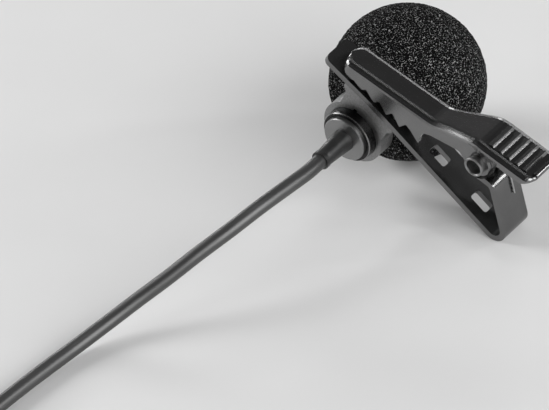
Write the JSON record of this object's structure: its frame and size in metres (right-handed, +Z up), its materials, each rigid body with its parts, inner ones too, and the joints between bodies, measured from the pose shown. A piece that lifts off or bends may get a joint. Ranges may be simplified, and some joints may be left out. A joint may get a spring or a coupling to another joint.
{
  "type": "lavalier microphone",
  "caption": "Small clip-on microphone with a foam ball windscreen, a sprung toothed clip, a thin cord wound in a coil and a jack plug.",
  "frame": {"origin": "bottom centre of the microphone and clip as they lie on a table, without the free cord", "axes": "+Y along the microphone towards the foam, +Z up, +X from the jaw tip towards the thumb pad"},
  "size_m": [0.0585, 0.1388, 0.0244],
  "materials": {
    "anodised_metal": "satin black anodised",
    "steel_mesh": "fine woven mesh",
    "felt": "thin felt",
    "capsule_can": "drawn can",
    "gasket_rubber": "matt",
    "board": "solder mask",
    "wire_cover": "smooth",
    "brass": "plain",
    "cord_jacket": "smooth satin jacket",
    "boot_rubber": "matt",
    "foam": "open-cell acoustic foam",
    "holder": "satin black",
    "black_steel": "satin black over bent sheet",
    "spring_steel": "blackened wire",
    "tie_fabric": "hook-and-loop tape",
    "plug_rubber": "matt",
    "plug_plastic": "satin",
    "contact_gold": "gold plated",
    "insulator": "smooth"
  },
  "bodies": {
    "mic": {"housing_tube": "anodised_metal", "rear_cap": "anodised_metal", "front_grille": "anodised_metal", "dust_mesh": "steel_mesh", "damping_felt": "felt", "electret_capsule": "capsule_can", "capsule_gasket": "gasket_rubber", "preamp_board": "board", "signal_wires": "wire_cover", "cord_crimp": "brass", "cord_lead": "cord_jacket", "strain_relief_boot": "boot_rubber", "cord_run": "cord_jacket", "cord_coil": "cord_jacket", "cord_tail": "cord_jacket", "coil_tie": "tie_fabric", "plug_strain_relief": "plug_rubber", "plug_body": "plug_plastic", "plug_sleeve": "contact_gold", "plug_ring": "contact_gold", "plug_tip": "contact_gold", "plug_insulators": "insulator"},
    "clip": {"lower_jaw": "black_steel", "mic_holder": "holder", "pivot_eyelet": "black_steel", "jaw_spring": "spring_steel"},
    "lever": {"upper_jaw": "black_steel"},
    "windscreen": {"foam_windscreen": "foam"}
  },
  "joints": [
    {"name": "clip_swivel", "type": "hinge", "parent": "mic", "child": "clip", "pos_m": [-0.01097, -0.0071, 0.0115], "axis": [0, -1, 0], "continuous": true},
    {"name": "jaw_hinge", "type": "hinge", "parent": "clip", "child": "lever", "pos_m": [0.01163, -0.0058, 0.01319], "axis": [0, 1, 0], "range_deg": [0, 30], "stiffness_Nm_per_rad": 0.03, "springref_deg": -57.3},
    {"name": "windscreen_slide", "type": "slide", "parent": "mic", "child": "windscreen", "axis": [0, 1, 0], "range_m": [0, 0.0134]}
  ]
}
